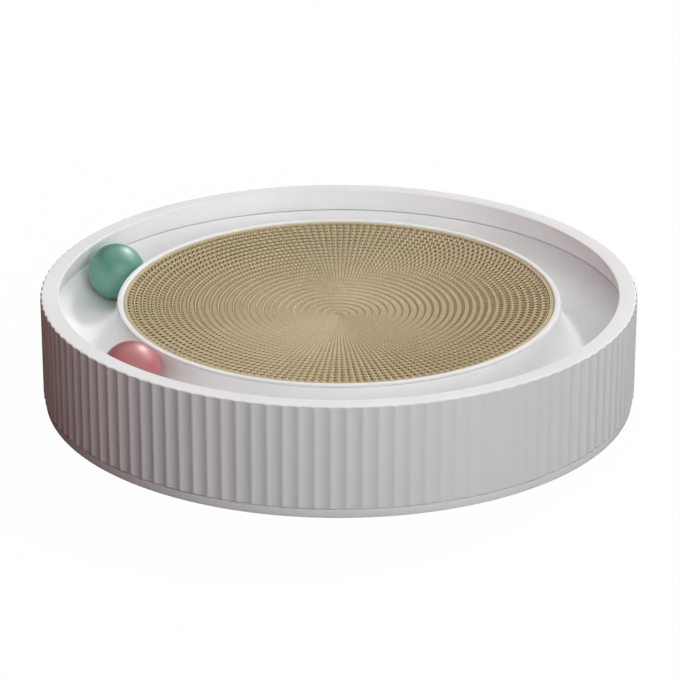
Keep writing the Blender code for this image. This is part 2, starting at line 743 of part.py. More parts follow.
def make_feet(parts):
    """Rubber discs let into the underside."""
    radius = FOOT_DIAMETER / 2
    profile = [
        (0.0, FOOT_THICKNESS),
        (radius, FOOT_THICKNESS),
        (radius, FOOT_EDGE_BREAK),
        (radius - FOOT_EDGE_BREAK, 0.0),
        (0.0, 0.0),
    ]
    centres = foot_centres()
    first = finish(turned("foot_1", profile, parts, FOOT_STEPS), RUBBER)
    first.location = centres[0]
    for number, centre in enumerate(centres[1:], start=2):
        link_mesh(f"foot_{number}", first.data, parts).location = centre


def main():
    """Build the whole scratcher."""
    clear_scene()
    parts = make_collection(COLLECTION_NAME)
    cutters = make_collection("cutters")
    make_outer_shell(parts, cutters)
    make_base_plate(parts, cutters)
    make_track_tray(parts)
    make_pad_cup(parts, cutters)
    make_pad_core(parts)
    make_pad_winding(parts)
    make_pad_wrap(parts)
    for (colour, azimuth), look in zip(BALLS.items(), (GREEN, CORAL)):
        orbit = add_empty(f"{colour}_orbit_axis", parts)
        make_ball_halves(colour, azimuth, look, orbit, parts)
        make_bell(colour, azimuth, orbit, parts, cutters)
    make_screws("shell_screw", screw_centres(BOSS_RING_RADIUS, SHELL_SCREWS), parts)
    make_screws("cup_screw", screw_centres(CUP_SCREW_RADIUS, CUP_SCREWS), parts)
    make_feet(parts)


main()
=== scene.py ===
"""Looks for a round cat scratcher: a fluted drum, a ball track and a corrugated pad.

Lengths are in metres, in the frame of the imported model. The floor is at z = 0, the drum's
axis is Z, and the camera looks along +Y with +X to its right.
"""
import logging
import math
from abc import ABC, abstractmethod
from collections.abc import Callable, Iterable
from dataclasses import dataclass
from enum import Enum

import bmesh
import bpy
from bpy.types import ID, Material, Node, NodeSocket, NodeTree, Object
from mathutils import Matrix, Vector


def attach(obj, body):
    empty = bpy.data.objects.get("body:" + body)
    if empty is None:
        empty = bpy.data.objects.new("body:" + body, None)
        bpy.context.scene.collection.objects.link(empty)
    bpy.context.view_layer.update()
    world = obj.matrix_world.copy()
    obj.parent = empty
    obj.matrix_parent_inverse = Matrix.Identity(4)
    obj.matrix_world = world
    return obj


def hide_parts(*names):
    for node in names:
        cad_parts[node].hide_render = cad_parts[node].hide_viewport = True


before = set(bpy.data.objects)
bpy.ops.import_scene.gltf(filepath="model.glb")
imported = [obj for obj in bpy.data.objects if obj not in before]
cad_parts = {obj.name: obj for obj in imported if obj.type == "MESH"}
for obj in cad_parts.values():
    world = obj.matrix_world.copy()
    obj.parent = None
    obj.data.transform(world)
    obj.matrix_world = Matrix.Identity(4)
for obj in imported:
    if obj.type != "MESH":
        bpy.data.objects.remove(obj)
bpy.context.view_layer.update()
LOG = logging.getLogger("cat_scratcher")

RingPoint = tuple[float, float, float]
Colour = tuple[float, float, float]
Point = Vector | tuple[float, float, float]
Face = tuple[int, ...]
Inputs = dict[str | int, object]

FINE_TURN = 288
CUTTER_SIDES = 40
SQUARE = ((-1, -1), (1, -1), (1, 1), (-1, 1))
SMOOTH_ANGLE = math.radians(32)
MOULDING_ANGLE = math.radians(40)
BOARD_ANGLE = math.radians(22)


class Body(Enum):
    """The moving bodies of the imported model."""

    DRUM = "drum"
    PAD = "pad"
    GREEN_BALL = "green_ball"
    CORAL_BALL = "coral_ball"


class Slot(Enum):
    """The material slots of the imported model."""

    WHITE = "white_plastic"
    GREEN = "green_plastic"
    CORAL = "coral_plastic"
    BOARD = "corrugated_board"
    LINER = "board_liner"
    RUBBER = "foot_rubber"
    STEEL = "steel"


def polar(radius: float, angle: float, height: float = 0.0) -> Vector:
    """A point at an angle in radians round the drum's axis."""
    return Vector((radius * math.cos(angle), radius * math.sin(angle), height))


def direction(azimuth: float, elevation: float) -> Vector:
    """The direction with an azimuth and elevation in degrees."""
    rise = math.radians(elevation)
    return polar(math.cos(rise), math.radians(azimuth), math.sin(rise))


def even_angles(count: int) -> list[float]:
    """Angles spread evenly over a full turn."""
    return [math.tau * index / count for index in range(count)]


def arc(centre: tuple[float, float], radius: float, start: float, end: float,
        steps: int, flute: float = 0.0) -> list[RingPoint]:
    """Profile points of an arc.

    Args:
        centre: Radius and height of the arc's centre.
        radius: Radius of the arc.
        start: First angle in degrees, from the outward direction.
        end: Last angle in degrees.
        steps: Number of pieces.
        flute: How far the points follow the flutes, from 0 to 1.

    Returns:
        The points, both ends included.
    """
    angles = [math.radians(start + (end - start) * index / steps) for index in range(steps + 1)]
    return [(centre[0] + radius * math.cos(angle), centre[1] + radius * math.sin(angle), flute)
            for angle in angles]


def plain(*pairs: tuple[float, float]) -> list[RingPoint]:
    """Profile points that don't follow the flutes."""
    return [(radius, height, 0.0) for radius, height in pairs]


def add_object(name: str, data: ID) -> Object:
    """An object in the scene that shows a mesh, camera or light.

    Args:
        name: Name of the object.
        data: The mesh, camera or light. Objects can share one mesh.

    Returns:
        The new object.
    """
    made = bpy.data.objects.new(name, data)
    bpy.context.scene.collection.objects.link(made)
    return made


def new_object(name: str, vertices: list[Point], faces: list[Face]) -> Object:
    """A mesh object in the scene, with its faces turned outwards.

    Args:
        name: Name of the object and its mesh.
        vertices: Points of the mesh.
        faces: Vertex indices of each face.

    Returns:
        The new object.
    """
    mesh = bpy.data.meshes.new(name)
    mesh.from_pydata(vertices, [], faces)
    shape = bmesh.new()
    shape.from_mesh(mesh)
    bmesh.ops.recalc_face_normals(shape, faces=shape.faces)
    shape.to_mesh(mesh)
    shape.free()
    return add_object(name, mesh)


def lathe(name: str, profile: list[RingPoint], angles: list[float],
          depth: Callable[[float], float] | None = None) -> Object:
    """Turn a profile about Z.

    Args:
        name: Name of the object.
        profile: Radius, height and flute share of each point. A profile that starts and ends
            on the axis is left open there, and any other is closed.
        angles: Angles of the turn, in radians.
        depth: Depth of the flutes at an angle.

    Returns:
        The turned object.
    """
    vertices, rings = [], []
    for radius, height, share in profile:
        if radius == 0.0:
            rings.append([len(vertices)] * len(angles))
            vertices.append(polar(0.0, 0.0, height))
            continue
        rings.append(list(range(len(vertices), len(vertices) + len(angles))))
        for angle in angles:
            sunk = depth(angle) * share if depth and share else 0.0
            vertices.append(polar(radius - sunk, angle, height))
    on_axis = profile[0][0] == 0.0 and profile[-1][0] == 0.0
    pairs = list(zip(rings, rings[1:]))
    if not on_axis:
        pairs.append((rings[-1], rings[0]))
    faces = []
    for low, high in pairs:
        for here in range(len(angles)):
            there = (here + 1) % len(angles)
            corners = dict.fromkeys((low[here], low[there], high[there], high[here]))
            if len(corners) > 2:
                faces.append(tuple(corners))
    return new_object(name, vertices, faces)


def settle(piece: Object, finish: "Finish", smooth: float = SMOOTH_ANGLE) -> Object:
    """Shade a piece and give it its finish.

    Args:
        piece: The object to finish.
        finish: Its finish.
        smooth: Edges sharper than this stay sharp.

    Returns:
        The same object.
    """
    piece.data.materials.clear()
    piece.data.materials.append(finish.material())
    piece.data.shade_smooth()
    piece.data.set_sharp_from_angle(angle=smooth)
    return piece


def place(piece: Object, body: Body, slot: Slot, *nodes: str) -> None:
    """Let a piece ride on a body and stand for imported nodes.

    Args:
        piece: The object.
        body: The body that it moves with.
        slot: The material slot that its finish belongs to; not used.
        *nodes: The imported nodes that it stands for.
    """
    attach(piece, body.value)
    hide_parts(*nodes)
    LOG.info("%s rides on %s", piece.name, body.value)


def cylinders(name: str, centres: Iterable[Vector], radius: float,
              bottom: float, top: float) -> Object:
    """Upright cylinders in one object, for cutting with.

    Args:
        name: Name of the object.
        centres: Places of the cylinders.
        radius: Their radius.
        bottom: Height of their lower ends.
        top: Height of their upper ends.

    Returns:
        The object.
    """
    mesh = bpy.data.meshes.new(name)
    shape = bmesh.new()
    for centre in centres:
        spot = Matrix.Translation((centre.x, centre.y, (bottom + top) / 2))
        bmesh.ops.create_cone(shape, cap_ends=True, segments=CUTTER_SIDES, radius1=radius,
                              radius2=radius, depth=top - bottom, matrix=spot)
    shape.to_mesh(mesh)
    shape.free()
    return add_object(name, mesh)


def cut(piece: Object, tool: Object) -> None:
    """Cut one object's shape out of another, and remove the cutter.

    Args:
        piece: The object that is cut.
        tool: The cutter.
    """
    boolean = piece.modifiers.new("Cut", "BOOLEAN")
    boolean.operation = "DIFFERENCE"
    boolean.solver = "EXACT"
    boolean.object = tool
    bpy.context.view_layer.update()
    graph = bpy.context.evaluated_depsgraph_get()
    mesh = bpy.data.meshes.new_from_object(piece.evaluated_get(graph))
    piece.modifiers.clear()
    piece.data = mesh
    bpy.data.objects.remove(tool)


@dataclass
class Nodes:
    """A short way to build a node tree."""

    tree: NodeTree

    def feed(self, node: Node, inputs: Inputs) -> None:
        """Set a node's inputs, or join them to other nodes.

        Args:
            node: The node.
            inputs: A value or another node's socket for each input, by name or number.
        """
        for name, value in inputs.items():
            if isinstance(value, NodeSocket):
                self.tree.links.new(value, node.inputs[name])
            else:
                node.inputs[name].default_value = value

    def add(self, kind: str, inputs: Inputs | None = None, **settings: object) -> Node:
        """A new node.

        Args:
            kind: Type of the node.
            inputs: Its inputs, as for feed.
            **settings: Its attributes.

        Returns:
            The node.
        """
        node = self.tree.nodes.new(kind)
        for name, value in settings.items():
            setattr(node, name, value)
        self.feed(node, inputs or {})
        return node

    def noise(self, scale: float, detail: float, stretch: Colour = (1.0, 1.0, 1.0),
              roughness: float = 0.5) -> NodeSocket:
        """Noise in the object's own coordinates.

        Args:
            scale: Cells to the metre.
            detail: Octaves of finer noise.
            stretch: Factors on the three coordinates.
            roughness: Share of the finer octaves.

        Returns:
            The socket of the noise's value.
        """
        place_on_object = self.add("ShaderNodeTexCoord").outputs["Object"]
        mapping = self.add("ShaderNodeMapping", {"Vector": place_on_object, "Scale": stretch})
        texture = self.add("ShaderNodeTexNoise", {
            "Vector": mapping.outputs["Vector"], "Scale": scale, "Detail": detail,
            "Roughness": roughness})
        return texture.outputs["Fac"]

    def spread(self, source: NodeSocket, low: float, high: float,
               start: float = 0.3, end: float = 0.7) -> NodeSocket:
        """Map a value from one span to another.

        Args:
            source: The value.
            low: Result at the start of the span.
            high: Result at its end.
            start: Start of the span.
            end: End of the span.

        Returns:
            The socket of the mapped value.
        """
        node = self.add("ShaderNodeMapRange", {"Value": source, 1: start, 2: end, 3: low, 4: high})
        return node.outputs["Result"]

    def mix(self, factor: NodeSocket, first: Colour | NodeSocket,
            second: Colour | NodeSocket) -> NodeSocket:
        """Blend two colours.

        Args:
            factor: The share of the second.
            first: The first colour, or its socket.
            second: The second colour, or its socket.

        Returns:
            The socket of the blend.
        """
        ends = [value if isinstance(value, NodeSocket) else (*value, 1.0)
                for value in (first, second)]
        node = self.add("ShaderNodeMix", {"Factor": factor, 6: ends[0], 7: ends[1]},
                        data_type="RGBA")
        return node.outputs[2]

    def bump(self, height: NodeSocket, distance: float, strength: float,
             under: NodeSocket | None = None) -> NodeSocket:
        """A bumped normal.

        Args:
            height: Height of the surface, from 0 to 1.
            distance: Real height that 1 stands for.
            strength: Strength of the bump.
            under: A normal that this bump lies on.

        Returns:
            The socket of the normal.
        """
        inputs = {"Height": height, "Distance": distance, "Strength": strength}
        if under is not None:
            inputs["Normal"] = under
        return self.add("ShaderNodeBump", inputs).outputs["Normal"]


@dataclass(frozen=True)
class Finish(ABC):
    """A finish that every piece of one material shares."""

    name: str
    colour: Colour
    roughness: float

    def material(self) -> Material:
        """The material, made when it is first asked for.

        Returns:
            The material.
        """
        made = bpy.data.materials.get(self.name)
        if made is None:
            made = bpy.data.materials.new(self.name)
            made.use_nodes = True
            made.diffuse_color = (*self.colour, 1.0)
            self.build(Nodes(made.node_tree), made.node_tree.nodes["Principled BSDF"])
        return made

    @abstractmethod
    def build(self, nodes: Nodes, shader: Node) -> None:
        """Add the finish's detail to the shader."""

    def shade(self, factor: float) -> Colour:
        """The colour made lighter or darker."""
        return tuple(min(1.0, channel * factor) for channel in self.colour)


@dataclass(frozen=True)
class MouldedPlastic(Finish):
    """Injection-moulded plastic with a fine spark-eroded texture."""

    flow: float = 0.03
    sheen_spread: float = 0.05

    def build(self, nodes: Nodes, shader: Node) -> None:
        """Faint flow marks in the colour, a fine grain and a slow waviness.

        Args:
            nodes: The material's node tree.
            shader: Its shader.
        """
        flow = nodes.noise(scale=14.0, detail=3.0, stretch=(1.0, 1.0, 0.35))
        grain = nodes.noise(scale=2600.0, detail=2.0)
        wave = nodes.noise(scale=55.0, detail=1.0)
        dark, pale = self.shade(1.0 - self.flow), self.shade(1.0 + self.flow)
        slow = nodes.bump(wave, distance=0.00004, strength=0.35)
        nodes.feed(shader, {
            "Base Color": nodes.mix(nodes.spread(flow, low=0.0, high=1.0), dark, pale),
            "Roughness": nodes.spread(grain, low=self.roughness - self.sheen_spread,
                                      high=self.roughness + self.sheen_spread),
            "Normal": nodes.bump(grain, distance=0.000012, strength=0.5, under=slow),
            "IOR": 1.49})


@dataclass(frozen=True)
class BallPlastic(Finish):
    """Dyed plastic of the balls, softly glossy."""

    dye: float = 0.05

    def build(self, nodes: Nodes, shader: Node) -> None:
        """Small swirls of the dye and hairline scuffs.

        Args:
            nodes: The material's node tree.
            shader: Its shader.
        """
        swirl = nodes.noise(scale=130.0, detail=4.0)
        scuff = nodes.noise(scale=900.0, detail=3.0, stretch=(1.0, 1.0, 0.2))
        dark, pale = self.shade(1.0 - self.dye), self.shade(1.0 + self.dye)
        nodes.feed(shader, {
            "Base Color": nodes.mix(nodes.spread(swirl, low=0.0, high=1.0), dark, pale),
            "Roughness": nodes.spread(scuff, low=self.roughness - 0.04,
                                      high=self.roughness + 0.10),
            "Normal": nodes.bump(scuff, distance=0.00002, strength=0.25),
            "IOR": 1.58, "Coat Weight": 1.0, "Coat Roughness": 0.50, "Coat IOR": 1.70})


@dataclass(frozen=True)
class KraftBoard(Finish):
    """Brown kraft board: pale where it is cut, darker down the faces of the paper, which is partly
    painted shade in the hollows.
    """

    face: Colour

    def build(self, nodes: Nodes, shader: Node) -> None:
        """Fibres, darker specks, and the difference between cut edge and face, whose darker colour
        is partly painted shade.

        Args:
            nodes: The material's node tree.
            shader: Its shader.
        """
        fibre = nodes.noise(scale=420.0, detail=5.0, stretch=(1.0, 1.0, 0.25), roughness=0.65)
        speck = nodes.noise(scale=1500.0, detail=2.0)
        patch = nodes.noise(scale=22.0, detail=3.0)
        fibres = nodes.spread(fibre, low=0.0, high=1.0)
        edge = nodes.mix(fibres, self.shade(0.86), self.shade(1.12))
        patches = nodes.spread(patch, low=0.0, high=0.5)
        edge = nodes.mix(patches, edge, self.shade(0.93))
        specks = nodes.spread(speck, low=0.0, high=0.55, start=0.60, end=0.75)
        edge = nodes.mix(specks, edge, self.shade(0.6))
        # Steep sides take the face colour: partly the paper's tone, partly painted shade in the
        # flute hollows.
        pale_face_and_shade = tuple(channel * 1.25 for channel in self.face)
        face = nodes.mix(fibres, self.face, pale_face_and_shade)
        normal = nodes.add("ShaderNodeNewGeometry").outputs["Normal"]
        split = nodes.add("ShaderNodeSeparateXYZ", {"Vector": normal})
        facing_up = nodes.spread(split.outputs["Z"], low=0.0, high=1.0, start=0.10, end=0.40)
        coarse = nodes.bump(fibre, distance=0.0002, strength=0.7)
        nodes.feed(shader, {
            "Base Color": nodes.mix(facing_up, face, edge), "Roughness": self.roughness,
            "Specular IOR Level": 0.25,
            "Normal": nodes.bump(speck, distance=0.0001, strength=0.5, under=coarse)})


@dataclass(frozen=True)
class FootRubber(Finish):
    """Pale grey rubber with a dusty bloom."""

    def build(self, nodes: Nodes, shader: Node) -> None:
        """Blotches of bloom and a pebbled surface.

        Args:
            nodes: The material's node tree.
            shader: Its shader.
        """
        bloom = nodes.noise(scale=300.0, detail=4.0)
        pebble = nodes.noise(scale=2200.0, detail=2.0)
        blotches = nodes.spread(bloom, low=0.0, high=1.0)
        nodes.feed(shader, {
            "Base Color": nodes.mix(blotches, self.shade(0.9), self.shade(1.15)),
            "Roughness": self.roughness,
            "Normal": nodes.bump(pebble, distance=0.00006, strength=0.6)})


@dataclass(frozen=True)
class ZincSteel(Finish):
    """Zinc-plated steel of the screws and bells."""

    plating: Colour

    def build(self, nodes: Nodes, shader: Node) -> None:
        """Turning marks and the faint tint of the plating.

        Args:
            nodes: The material's node tree.
            shader: Its shader.
        """
        turned = nodes.noise(scale=1800.0, detail=2.0, stretch=(1.0, 1.0, 6.0))
        tint = nodes.noise(scale=260.0, detail=3.0)
        blend = nodes.spread(tint, low=0.0, high=1.0)
        nodes.feed(shader, {
            "Base Color": nodes.mix(blend, self.colour, self.plating), "Metallic": 1.0,
            "Roughness": nodes.spread(turned, low=self.roughness - 0.07,
                                      high=self.roughness + 0.1),
            "Normal": nodes.bump(turned, distance=0.00002, strength=0.4)})


WHITE_PLASTIC = MouldedPlastic("moulded_white", (0.91, 0.91, 0.91), 0.55)
GREEN_PLASTIC = BallPlastic("dyed_green", (0.108, 0.355, 0.275), 0.40)
CORAL_PLASTIC = BallPlastic("dyed_coral", (0.550, 0.158, 0.165), 0.40)
# Each board's face colour darkens its steep sides with painted shade in the hollows, most on the
# fluted board.
BOARD = KraftBoard("kraft_board", (0.600, 0.494, 0.310), 0.88, (0.19, 0.13, 0.05))
LINER = KraftBoard("kraft_liner", (0.64, 0.545, 0.355), 0.85, (0.54, 0.45, 0.27))
RUBBER = FootRubber("pale_rubber", (0.30, 0.30, 0.30), 0.75)
STEEL = ZincSteel("zinc_steel", (0.66, 0.66, 0.67), 0.30, (0.62, 0.60, 0.52))


@dataclass
class OuterShell:
    """Fluted outer wall, flat rim and the sloping skirt inside it."""

    radius: float = 0.2005
    top: float = 0.0772
    bottom: float = 0.0077
    flutes: int = 126
    flute_depth: float = 0.0008
    ridge_land: float = 0.035
    flute_steps: int = 9
    outer_round: float = 0.0009
    inner_round: float = 0.0008
    rim_inner: float = 0.1881
    rim_thickness: float = 0.0025
    skirt_radius: float = 0.1951
    skirt_bottom: float = 0.0596
    skirt_wall: float = 0.0015
    wall_inner: float = 0.1977
    bottom_chamfer: float = 0.0004
    flat_margin: float = 0.0002
    skirt_chamfer: tuple[float, float] = (0.0002, 0.0003)

    def depth(self, angle: float) -> float:
        """Depth of the flutes: hollow arcs between narrow ridges.

        Args:
            angle: Angle round the drum's axis.

        Returns:
            How far the wall lies inside the ridges.
        """
        share = (angle / math.tau * self.flutes) % 1.0
        land = self.ridge_land
        if share < land or share > 1.0 - land:
            return 0.0
        across = (share - land) / (1.0 - 2 * land) * 2 - 1
        return self.flute_depth * (1.0 - across * across)

    def angles(self) -> list[float]:
        """Angles of the turn, with both edges of each ridge among them.

        Returns:
            The angles, in rising order.
        """
        land = self.ridge_land
        shares = [0.0, land]
        for step in range(1, self.flute_steps):
            shares.append(land + (1.0 - 2 * land) * step / self.flute_steps)
        shares.append(1.0 - land)
        return [math.tau * (flute + share) / self.flutes
                for flute in range(self.flutes) for share in shares]

    def profile(self) -> list[RingPoint]:
        """The shell's section, from its lower outer edge up over the rim and back.

        Returns:
            Its points.
        """
        edge, inner, lead = self.outer_round, self.inner_round, self.bottom_chamfer
        chamfer_in, chamfer_up = self.skirt_chamfer
        cavity_top = self.top - self.rim_thickness
        slope = (self.skirt_radius - self.rim_inner) / (self.top - inner - self.skirt_bottom)
        cavity_inner = self.rim_inner + slope * (self.rim_thickness - inner) + self.skirt_wall
        flat_start = self.radius - self.flute_depth - edge - self.flat_margin
        return [
            (self.radius - lead, self.bottom, 1.0),
            (self.radius, self.bottom + lead, 1.0),
            *arc((self.radius - edge, self.top - edge), edge, 0, 80, 5, 1.0),
            *plain((flat_start, self.top), (self.rim_inner + inner, self.top)),
            *arc((self.rim_inner + inner, self.top - inner), inner, 95, 180, 5),
            *plain((self.skirt_radius - chamfer_in, self.skirt_bottom + chamfer_up),
                   (self.skirt_radius, self.skirt_bottom),
                   (self.skirt_radius + self.skirt_wall, self.skirt_bottom),
                   (cavity_inner, cavity_top),
                   (self.wall_inner, cavity_top),
                   (self.wall_inner, self.bottom)),
        ]

    def build(self) -> None:
        """Make the shell."""
        shell = lathe("fluted_outer_shell", self.profile(), self.angles(), self.depth)
        settle(shell, WHITE_PLASTIC, MOULDING_ANGLE)
        place(shell, Body.DRUM, Slot.WHITE, "outer_shell")


@dataclass
class BasePlate:
    """Bottom moulding: the smooth band under the flutes, with feet and screws below."""

    band_radius: float = 0.1992
    band_top: float = 0.0067
    seat_radius: float = 0.1978
    seat: float = 0.0074
    spigot_radius: float = 0.1974
    spigot_wall: float = 0.0023
    spigot_top: float = 0.0134
    bottom: float = 0.0010
    floor: float = 0.0035
    edge: float = 0.0007
    band_round: float = 0.0003
    groove_lead: float = 0.0002
    rib_depth: float = 0.0004
    rib_radii: tuple[float, ...] = (0.060, 0.125, 0.165)
    rib_section: tuple[tuple[float, float], ...] = (
        (0.0009, 0.0), (0.0006, 1.0), (-0.0006, 1.0), (-0.0009, 0.0))
    screw_rings: tuple[tuple[float, int], ...] = ((0.1942, 6), (0.1000, 4))
    counterbore: float = 0.0033
    counterbore_top: float = 0.0039
    foot_ring: float = 0.1785
    foot_count: int = 6
    foot_recess: float = 0.0093
    foot_recess_top: float = 0.0022
    cutter_margin: float = 0.002

    def profile(self) -> list[RingPoint]:
        """The section, from the middle of the upper side round to the underside.

        Returns:
            Its points.
        """
        edge, band = self.edge, self.band_round
        spigot_inner = self.spigot_radius - self.spigot_wall
        points = plain((0.0, self.floor), (spigot_inner, self.floor),
                       (spigot_inner, self.spigot_top), (self.spigot_radius, self.spigot_top),
                       (self.spigot_radius, self.seat), (self.seat_radius, self.seat),
                       (self.seat_radius, self.band_top - self.groove_lead))
        points += arc((self.band_radius - band, self.band_top - band), band, 85, 0, 2)
        points += arc((self.band_radius - edge, self.bottom + edge), edge, 0, -90, 5)
        for radius in reversed(self.rib_radii):
            for offset, height in self.rib_section:
                points.append((radius + offset, self.bottom + self.rib_depth * height, 0.0))
        return points + plain((0.0, self.bottom))

    def screw_nodes(self) -> dict[str, Vector]:
        """Places of the screws.

        Returns:
            The place of each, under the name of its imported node.
        """
        places = {}
        for prefix, (radius, count) in zip(("shell_screw", "cup_screw"), self.screw_rings):
            for number in range(1, count + 1):
                places[f"{prefix}_{number}"] = polar(radius, math.tau * (number - 0.5) / count)
        return places

    def foot_centres(self) -> list[Vector]:
        """Places of the feet."""
        return [polar(self.foot_ring, math.tau * index / self.foot_count)
                for index in range(self.foot_count)]

    def build(self) -> None:
        """Make the plate with its counterbores and foot recesses."""
        plate = lathe("base_with_band", self.profile(), even_angles(FINE_TURN))
        low = self.bottom - self.cutter_margin
        cut(plate, cylinders("counterbores", self.screw_nodes().values(), self.counterbore,
                             low, self.counterbore_top))
        cut(plate, cylinders("foot_recesses", self.foot_centres(), self.foot_recess,
                             low, self.foot_recess_top))
        settle(plate, WHITE_PLASTIC, MOULDING_ANGLE)
        place(plate, Body.DRUM, Slot.WHITE, "base_plate")


@dataclass
class Foot:
    """Rubber foot with a rounded edge and two shallow rings."""

    radius: float = 0.0090
    height: float = 0.0019
    edge_round: float = 0.0005
    groove: float = 0.0002
    groove_section: tuple[tuple[float, float], ...] = (
        (0.0006, 0.0), (0.0003, 1.0), (-0.0003, 1.0), (-0.0006, 0.0))
    ring_radii: tuple[float, ...] = (0.0062, 0.0034)
    sides: int = 48

    def profile(self) -> list[RingPoint]:
        """The section, from the middle of the upper side round to the tread.

        Returns:
            Its points.
        """
        edge = self.edge_round
        points = plain((0.0, self.height), (self.radius, self.height))
        points += arc((self.radius - edge, edge), edge, 0, -90, 4)
        for radius in self.ring_radii:
            for offset, height in self.groove_section:
                points.append((radius + offset, self.groove * height, 0.0))
        return points + plain((0.0, 0.0))

    def build(self, centres: list[Vector]) -> None:
        """Make the feet.

        Args:
            centres: Their places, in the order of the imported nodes.
        """
        first = None
        for number, centre in enumerate(centres, start=1):
            name = f"rubber_foot_{number}"
            if first is None:
                foot = first = settle(lathe(name, self.profile(), even_angles(self.sides)), RUBBER)
            else:
                foot = add_object(name, first.data)
            foot.location = centre
            place(foot, Body.DRUM, Slot.RUBBER, f"foot_{number}")


@dataclass
class Screw:
    """Self-tapping screw, tip up, with a cross recess in its pan head."""

    shank: float = 0.0015
    core: float = 0.0011
    head: float = 0.0030
    head_bottom: float = 0.0015
    head_top: float = 0.0036
    head_round_share: float = 0.8
    tip: float = 0.0176
    tip_length: float = 0.0012
    tip_share: float = 0.4
    thread_pitch: float = 0.0012
    crest_share: float = 0.3
    root_share: float = 0.6
    slot_length: float = 0.0034
    slot_width: float = 0.0007
    slot_depth: float = 0.0012
    slot_floor_share: float = 0.22
    cutter_margin: float = 0.001
    sides: int = 32
    turn_step: float = 0.7

    def profile(self) -> list[RingPoint]:
        """The section with its thread as rings, from the tip down to the head.

        Returns:
            Its points.
        """
        pitch = self.thread_pitch
        points = plain((0.0, self.tip), (self.core * self.tip_share, self.tip - self.tip_length))
        height = self.tip - 2 * self.tip_length
        while height > self.head_top + pitch:
            points += plain((self.core, height), (self.shank, height - pitch * self.crest_share),
                            (self.core, height - pitch * self.root_share))
            height -= pitch
        points += plain((self.core, self.head_top), (self.head, self.head_top))
        edge = (self.head_top - self.head_bottom) * self.head_round_share
        points += arc((self.head - edge, self.head_bottom + edge), edge, 0, -90, 5)
        return points + plain((0.0, self.head_bottom))

    def slot(self, turn: float) -> Object:
        """The cutter for one bar of the cross recess, tapering inwards.

        Args:
            turn: Angle of the bar about the screw's axis.

        Returns:
            The cutter.
        """
        low, high = self.head_bottom - self.cutter_margin, self.head_bottom + self.slot_depth
        corners = []
        for height, length in ((low, self.slot_length / 2),
                               (high, self.slot_length * self.slot_floor_share)):
            for x, y in SQUARE:
                corners.append((x * length, y * self.slot_width / 2, height))
        sides = [(side, (side + 1) % 4, (side + 1) % 4 + 4, side + 4) for side in range(4)]
        made = new_object("slot", corners, [(3, 2, 1, 0), (4, 5, 6, 7), *sides])
        made.data.transform(Matrix.Rotation(turn, 4, "Z"))
        return made

    def build(self, nodes: dict[str, Vector]) -> None:
        """Make the screws.

        Args:
            nodes: The place of each screw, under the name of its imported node.
        """
        first = None
        for number, (node, centre) in enumerate(nodes.items(), start=1):
            name = f"recessed_screw_{number}"
            if first is None:
                screw = lathe(name, self.profile(), even_angles(self.sides))
                for turn in (0.0, math.pi / 2):
                    cut(screw, self.slot(turn))
                first = settle(screw, STEEL)
            else:
                screw = add_object(name, first.data)
            screw.location = centre
            screw.rotation_euler = (0.0, 0.0, number * self.turn_step)
            place(screw, Body.DRUM, Slot.STEEL, node)


@dataclass
class TrackTray:
    """The channel that the balls run in."""

    hub_radius: float = 0.1496
    flank_top: float = 0.0682
    track_radius: float = 0.1697
    track_height: float = 0.0604
    section: float = 0.0201
    reach: float = 0.0251
    edge_top: float = 0.0591
    edge_width: float = 0.0012
    edge_depth: float = 0.0012
    edge_round: float = 0.0003
    wall: float = 0.0020
    foot: float = 0.0038
    edge_trim: float = 3.0
    stem_trim: float = 4.0

    def profile(self) -> list[RingPoint]:
        """Flank, channel, wide outer cove, edge and the ring wall below.

        Returns:
            Its points.
        """
        floor = self.track_height - self.section
        rise = self.edge_top - floor
        cove = (self.reach ** 2 + rise ** 2) / (2 * rise)
        cove_end = math.degrees(math.asin((self.edge_top - floor - cove) / cove))
        centre = (self.track_radius, self.track_height)
        cove_centre = (self.track_radius, floor + cove)
        edge = self.track_radius + self.reach
        soft = self.edge_round
        stem_out, stem_in = self.track_radius + self.wall / 2, self.track_radius - self.wall / 2
        return [
            *plain((self.hub_radius - self.wall, self.flank_top),
                   (self.hub_radius - soft, self.flank_top),
                   (self.hub_radius, self.flank_top - soft)),
            *arc(centre, self.section, 180, 270, 22),
            *arc(cove_centre, cove, -90, cove_end, 22)[1:],
            *arc((edge + soft, self.edge_top - soft), soft, 150, 90, 3),
            *plain((edge + self.edge_width, self.edge_top),
                   (edge + self.edge_width, self.edge_top - self.edge_depth)),
            *arc(cove_centre, cove + self.wall, cove_end - self.edge_trim,
                 self.stem_trim - 90, 10),
            *plain((stem_out, floor - self.wall), (stem_out, self.foot),
                   (stem_in, self.foot), (stem_in, floor - self.wall)),
            *arc(centre, self.section + self.wall, 270 - self.stem_trim, 180, 12),
        ]

    def build(self) -> None:
        """Make the tray."""
        tray = lathe("ball_track_tray", self.profile(), even_angles(FINE_TURN))
        settle(tray, WHITE_PLASTIC)
        place(tray, Body.DRUM, Slot.WHITE, "track_tray")


